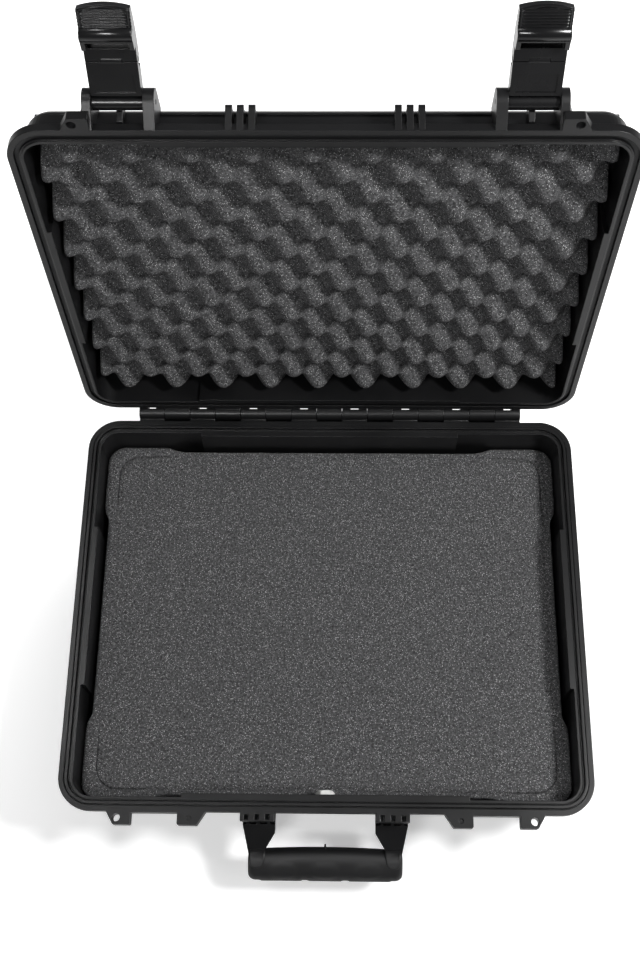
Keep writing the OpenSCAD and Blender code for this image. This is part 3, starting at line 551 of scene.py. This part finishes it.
class CASE_OT_handle(bpy.types.Operator):
    """Finish the carry handle, its grip and its pins"""

    bl_idname = "case.handle"
    bl_label = "Handle"

    def handle_place(self):
        """The handle's own axes: X along its pins, -Y to the grip and Z through its thickness."""
        pivot = Vector(joint("handle_swing")["pos_m"])
        return Matrix.Translation(pivot) @ Matrix.Rotation(math.radians(HANDLE_DROP), 4, "X")

    def grip(self):
        """The rubber grip: rounded ends, a swelling towards the palm and three low finger pads."""
        place = self.handle_place()
        # in mm from the pins: half the grip's length and its round ends, the inner and outer faces with
        # the swelling of each, half its thickness, and the power that squares its section
        half, round_end = 69.6, 7.0
        inner_face, palm, outer_face, pad_rise = -33.4, 2.6, -59.6, 0.9
        half_thick, square = 10.4, 0.72
        stations = [-half + 0.02]
        stations += [-half + round_end * (1 - math.cos(math.radians(a))) for a in (15, 30, 45, 60, 75, 90)]
        stations += [-half + round_end + (2 * half - 2 * round_end) * k / 80 for k in range(1, 80)]
        stations += [-x for x in stations[6::-1]]
        rings = []
        for x in stations:
            over = max(abs(x) - half + round_end, 0.0) / round_end
            shrink = 5.5 * (1 - math.sqrt(max(1 - over * over, 0.0)))
            inner = inner_face + palm * (1 - (x / half) ** 2)
            pad = max(ease(abs(x), 20, 22.5) * (1 - ease(abs(x), 57, 60)), 1 - ease(abs(x), 14, 16.5))
            outer = outer_face - pad_rise * pad
            middle, reach = (inner + outer) / 2, (inner - outer) / 2 - shrink
            ring = []
            for k in range(48):
                c, s = math.cos(math.pi * k / 24), math.sin(math.pi * k / 24)
                y = middle + reach * math.copysign(abs(c) ** square, c)
                z = (half_thick - shrink) * math.copysign(abs(s) ** square, s)
                for centre in (-38, 0, 38):
                    near = ((x - centre) / 13) ** 2 + ((y + 48) / 8) ** 2
                    z += math.copysign(0.6, s) * (1 - ease(near, 0.75, 1.1)) * abs(s)
                ring.append(place @ (Vector((x, y, z)) * MM))
            rings.append(ring)
        skin = loft(rings)
        soft = add_piece("rubber_grip", skin, "handle", "grip", ["handle_grip"], 50)
        # the moulding's nib, which stands on the middle of the inner face
        nib = bmesh.new()
        root, tip, length = 1.3 * MM, 0.7 * MM, 5 * MM
        bmesh.ops.create_cone(nib, cap_ends=True, segments=16, radius1=root, radius2=tip, depth=length)
        edge = Matrix.Translation((0, -29.2 * MM, 0))
        nib.transform(place @ edge @ Matrix.Rotation(math.radians(-90), 4, "X"))
        add_piece("grip_nib", nib, "handle", "grip")

    def arm_end(self, side):
        """The round end of an arm, let into both faces of the grip."""
        place = self.handle_place()
        name = "left" if side < 0 else "right"
        # in mm: half the arm's width, the middle of its round end, and how far the piece starts from
        # the middle of the arm's thickness
        half_width, end_y, start = 6.6, -39.4, 3.6
        for face, label in ((-1, "back"), (1, "top")):
            rings = []
            for inset, lift in ((0.0, start), (0.0, 10.2), (0.5, 10.7), (1.4, 10.8)):
                ring = []
                for k in range(33):
                    angle = math.radians(180 * k / 32)
                    reach = half_width - inset
                    ring.append((reach * math.cos(angle), end_y - reach * math.sin(angle), 1.0))
                # back up the arm, sinking to its face
                ring += [(-(7.0 - inset), -33.5, 0.8), (-(7.2 - inset), -30.5, 0.2)]
                ring += [(7.2 - inset, -30.5, 0.2), (7.0 - inset, -33.5, 0.8)]
                placed = []
                for x, y, share in ring:
                    # the two arms lean a little towards each other
                    arm_x = side * (61.2 - 0.06 * (y + 39))
                    z = face * (start + (lift - start) * share)
                    placed.append(place @ (Vector((arm_x + x, y, z)) * MM))
                rings.append(placed)
            piece = f"{name}_arm_end_{label}"
            add_piece(piece, loft(rings), "handle", "grip", (), 50)

    def execute(self, context):
        finishes(context.scene.case_colours)
        dress("handle_frame", "latch")
        dress("left_handle_pin", "steel")
        dress("right_handle_pin", "steel")
        self.grip()
        for side in (-1, 1):
            self.arm_end(side)
        return {"FINISHED"}


class CASE_OT_valve(bpy.types.Operator):
    """Finish the purge valve and its nut"""

    bl_idname = "case.valve"
    bl_label = "Purge valve"

    def execute(self, context):
        finishes(context.scene.case_colours)
        dress("valve_body", "latch")
        dress("valve_cap", "latch")
        dress("valve_ring", "seal")
        dress("valve_nut", "nut")
        dress("valve_membrane", "film")
        return {"FINISHED"}


class CASE_OT_base_foam(bpy.types.Operator):
    """Make the base's foam: the lower pad, the frame above it and the plug that lifts out"""

    bl_idname = "case.base_foam"
    bl_label = "Base foam"

    def outline(self, low, high):
        """The foam's outer loop, stepped in between its four corner lobes, with smooth turns."""
        half_x, half_y = (high.x - low.x) / 2, (high.y - low.y) / 2
        # where each lobe turns into the side, and how far the side stands in, in mm
        turn_x, turn_y, step = (150 * MM, 162 * MM), (98 * MM, 108 * MM), 5
        points = []
        for point, out in rounded_loop(half_x, half_y, FOAM_CORNER):
            side = max(
                (1 - ease(abs(point.x), *turn_x)) * abs(out.y),
                (1 - ease(abs(point.y), *turn_y)) * abs(out.x),
            )
            points.append(point - out * side * step * MM)
        return points

    def cut_shows(self, point, half_x, half_y):
        """How far the cut between frame and plug gapes: at its four corners, and hardly between them."""
        far, near = 62 * MM, 22 * MM
        near_x = ease(abs(point[0]), half_x - far, half_x - near)
        near_y = ease(abs(point[1]), half_y - far, half_y - near)
        return 0.1 + 0.9 * near_x * near_y

    def lower_pad(self):
        """A plain slab with soft edges."""
        outer = self.outline(PAD_LOW, PAD_HIGH)
        low, high, edge = PAD_LOW.z, PAD_HIGH.z, 2 * MM
        rings = []
        for z, inset in ((low, edge), (low + edge, 0.0), (high - edge, 0.0), (high, edge)):
            ring = []
            for p in outer:
                x = p.x - math.copysign(min(inset, abs(p.x)), p.x)
                y = p.y - math.copysign(min(inset, abs(p.y)), p.y)
                ring.append((x, y, z))
            rings.append(ring)
        pad = add_piece("foam_lower_pad", loft(rings), "base", "foam", ["base_foam_pad"], 60)

    def foam_frame(self):
        """The frame round the plug, with its top rounding down into the cut."""
        low, top = FRAME_LOW.z, FRAME_HIGH.z
        outer = self.outline(FRAME_LOW, FRAME_HIGH)
        gap = 0.15 * MM
        half_x, half_y = (PLUG_HIGH.x - PLUG_LOW.x) / 2 + gap, (PLUG_HIGH.y - PLUG_LOW.y) / 2 + gap
        inner = rounded_loop(half_x, half_y, PLUG_CORNER + 0.4 * MM)
        soft = 1.6 * MM
        rings = []
        for z, share in ((low, 0.0), (top - soft, 0.0), (top - 0.3 * soft, 0.15), (top, 0.4)):
            ring = []
            for o, (i, _) in zip(outer, inner):
                x, y = o.x + (i.x - o.x) * share * 0.7, o.y + (i.y - o.y) * share * 0.7
                ring.append((x, y, z + swell(o, 30 * MM) * (z > low)))
            rings.append(ring)
        for drop, share in ((0.0, 0.75), (0.3 * soft, 0.93), (soft, 1.0)):
            ring = []
            for o, (i, _) in zip(outer, inner):
                fall = drop * self.cut_shows(i, half_x, half_y)
                z = top - fall + swell(i, 55 * MM) - FOAM_SINK * share
                ring.append((o.x + (i.x - o.x) * share, o.y + (i.y - o.y) * share, z))
            rings.append(ring)
        rings.append([(i.x, i.y, low) for i, _ in inner])
        skin = loft(rings, ends=False)
        rim = add_piece("foam_frame", skin, "base", "foam", ["base_foam_frame"], 60)

    def foam_plug(self, edge):
        """The plug. Its rings step in to the middle, so that its top can be a little uneven."""
        half_x, half_y = (PLUG_HIGH.x - PLUG_LOW.x) / 2, (PLUG_HIGH.y - PLUG_LOW.y) / 2
        top = PLUG_HIGH.z
        rings = [[(p.x, p.y, PLUG_LOW.z) for p, _ in rounded_loop(half_x, half_y, PLUG_CORNER)]]
        insets = [(0.0, -edge), (0.12 * edge, -0.55 * edge), (0.4 * edge, -0.2 * edge), (edge, 0.0)]
        insets += [(edge + 9 * MM * k, 0.0) for k in range(1, 18)]
        for inset, drop in insets:
            radius = max(PLUG_CORNER - inset, 2 * MM)
            ring = []
            for p, _ in rounded_loop(half_x - inset, half_y - inset, radius):
                fall = drop * self.cut_shows(p, half_x, half_y)
                ring.append((p.x, p.y, top + fall + swell(p, 55 * MM) - FOAM_SINK))
            rings.append(ring)
        plug = add_piece("foam_plug", loft(rings), "plug", "foam", ["base_foam_plug"], 60)

    def execute(self, context):
        finishes(context.scene.case_colours)
        self.lower_pad()
        self.foam_frame()
        self.foam_plug(context.scene.case_sizes.foam_edge)
        return {"FINISHED"}


class CASE_OT_lid_foam(bpy.types.Operator):
    """Make the lid's convoluted foam: staggered peaks and valleys on a plain back"""

    bl_idname = "case.lid_foam"
    bl_label = "Lid foam"

    def execute(self, context):
        finishes(context.scene.case_colours)
        sizes = context.scene.case_sizes
        half_x, half_y, short = LID_FOAM_HALF_X, LID_FOAM_HALF_Y, LID_FOAM_SHORT
        back = LID_RIM_Z + LID_FOAM_DEPTH
        across, along = 158, 124
        turn_x = 2 * math.pi / sizes.peak_pitch_x
        turn_y = 2 * math.pi / sizes.peak_pitch_y
        made = bmesh.new()

        def face_point(i, j):
            x = -half_x + 2 * half_x * i / across
            y = -half_y + (2 * half_y - short) * j / along
            wave = math.cos(turn_x * (x - VALLEY_X)) * math.cos(turn_y * (y - VALLEY_Y))
            depth = ((wave + 1) / 2) ** 1.15
            edge_x, edge_y = half_x - abs(x), min(half_y - short - y, half_y + y)
            soft = 2.5 * MM * (math.exp(-edge_x / (1.5 * MM)) + math.exp(-edge_y / (1.5 * MM)))
            t = sizes.peak_down + sizes.peak_height * depth + soft + swell((x, y), 20 * MM)
            return OPENED @ Vector((x, y, LID_RIM_Z + t))

        grid = [[made.verts.new(face_point(i, j)) for i in range(across + 1)] for j in range(along + 1)]
        for j in range(along):
            for i in range(across):
                made.faces.new((grid[j][i], grid[j][i + 1], grid[j + 1][i + 1], grid[j + 1][i]))
        border = [grid[0][i] for i in range(across)]
        border += [grid[j][across] for j in range(along)]
        border += [grid[along][across - i] for i in range(across)]
        border += [grid[along - j][0] for j in range(along)]
        shut = OPENED.inverted()
        behind = []
        for vert in border:
            point = shut @ vert.co
            lean = short * ease(point.y, half_y - short - 1 * MM, half_y - short)
            behind.append(made.verts.new(OPENED @ Vector((point.x, point.y + lean, back))))
        count = len(border)
        for i in range(count):
            j = (i + 1) % count
            made.faces.new((border[i], border[j], behind[j], behind[i]))
        made.faces.new(behind)
        lining = add_piece("lid_foam_peaks", made, "lid", "foam", ["lid_foam"], 70)
        return {"FINISHED"}


class CASE_OT_stage(bpy.types.Operator):
    """Set the pale floor, the soft lights and the camera"""

    bl_idname = "case.stage"
    bl_label = "Studio"

    def add_light(self, name, place, aim, size, power, mirrored):
        """A soft light panel, turned to its aim. One that isn't mirrored leaves no glare on flat faces."""
        data = bpy.data.lights.new(name, "AREA")
        data.shape = "RECTANGLE"
        data.size, data.size_y = size
        data.energy = power
        made = bpy.data.objects.new(name, data)
        bpy.context.scene.collection.objects.link(made)
        made.visible_glossy = mirrored
        made.location = place
        made.rotation_euler = (Vector(aim) - Vector(place)).to_track_quat("-Z", "Y").to_euler()

    def execute(self, context):
        colours = context.scene.case_colours
        scene = context.scene

        made = bmesh.new()
        corners = [(-1, -1), (1, -1), (1, 1), (-1, 1)]
        made.faces.new([made.verts.new((x * FLOOR_REACH, y * FLOOR_REACH, 0)) for x, y in corners])
        mesh = bpy.data.meshes.new("floor")
        made.to_mesh(mesh)
        made.free()
        floor = bpy.data.objects.new("floor", mesh)
        scene.collection.objects.link(floor)
        paint, tree, shader = new_material("painted_floor")
        shader.inputs["Base Color"].default_value = linear(colours.floor)
        shader.inputs["Roughness"].default_value = 0.8
        shader.inputs["Specular IOR Level"].default_value = 0.1
        # the camera sees the floor a little brighter, and white far from the case, so that only the
        # deeper shadow shows
        path = put(tree, "LightPath")
        place = put(tree, "TexCoord").outputs["Object"]
        distance = put(tree, "VectorMath", {0: place}, operation="LENGTH")
        whiter = put(
            tree,
            "MapRange",
            {
                "Value": distance.outputs["Value"],
                "From Min": FLOOR_NEAR,
                "From Max": FLOOR_FAR,
                "To Min": 0.42,
                "To Max": 1.0,
            },
        )
        lift = put(
            tree,
            "Math",
            {0: path.outputs["Is Camera Ray"], 1: whiter.outputs["Result"]},
            operation="MULTIPLY",
        )
        tree.links.new(lift.outputs["Value"], shader.inputs["Emission Strength"])
        shader.inputs["Emission Color"].default_value = (1, 1, 1, 1)
        mesh.materials.append(paint)

        world = bpy.data.worlds.new("studio")
        scene.world = world
        world.use_nodes = True
        tree = world.node_tree
        tree.nodes.clear()
        path = put(tree, "LightPath")
        plain = put(tree, "Background", {"Color": linear("#e9e9ea"), "Strength": 0.14})
        white = put(tree, "Background", {"Color": (1, 1, 1, 1), "Strength": 1.0})
        mixed = put(
            tree,
            "MixShader",
            {
                0: path.outputs["Is Camera Ray"],
                1: plain.outputs["Background"],
                2: white.outputs["Background"],
            },
        )
        put(tree, "OutputWorld", {"Surface": mixed.outputs["Shader"]})

        for light in LIGHTS:
            self.add_light(*light)

        data = bpy.data.cameras.new("camera")
        data.sensor_fit = "AUTO"
        data.sensor_width = SENSOR
        data.lens = FOCAL_PX / PICTURE_PX * SENSOR
        data.clip_end = 50
        camera = bpy.data.objects.new("camera", data)
        scene.collection.objects.link(camera)
        axes = (CAMERA_RIGHT, CAMERA_UP, CAMERA_RIGHT.cross(CAMERA_UP))
        camera.matrix_world = Matrix.Translation(CAMERA_PLACE) @ Matrix(axes).transposed().to_4x4()
        scene.camera = camera
        scene.view_settings.view_transform = "Standard"
        return {"FINISHED"}


class CASE_PT_panel(bpy.types.Panel):
    """Lists the pieces of the case"""

    bl_idname = "CASE_PT_panel"
    bl_label = "Hard case"
    bl_space_type = "VIEW_3D"
    bl_region_type = "UI"
    bl_category = "Hard case"

    def draw(self, context):
        for group in (context.scene.case_sizes, context.scene.case_colours):
            for name in group.__annotations__:
                self.layout.prop(group, name)
        for operator in OPERATORS:
            self.layout.operator(operator.bl_idname)


OPERATORS = [
    CASE_OT_stage,
    CASE_OT_shells,
    CASE_OT_edge_bands,
    CASE_OT_latches,
    CASE_OT_handle,
    CASE_OT_valve,
    CASE_OT_base_foam,
    CASE_OT_lid_foam,
]
CLASSES = [CaseSizes, CaseColours] + OPERATORS + [CASE_PT_panel]


def register():
    for one in CLASSES:
        bpy.utils.register_class(one)
    bpy.types.Scene.case_sizes = PointerProperty(type=CaseSizes)
    bpy.types.Scene.case_colours = PointerProperty(type=CaseColours)


def unregister():
    del bpy.types.Scene.case_colours
    del bpy.types.Scene.case_sizes
    for one in reversed(CLASSES):
        bpy.utils.unregister_class(one)


def main():
    """Makes everything in order."""
    register()
    bpy.ops.case.stage()
    bpy.ops.case.shells()
    bpy.ops.case.edge_bands()
    bpy.ops.case.latches()
    bpy.ops.case.handle()
    bpy.ops.case.valve()
    bpy.ops.case.base_foam()
    bpy.ops.case.lid_foam()


if __name__ == "__main__":
    main()
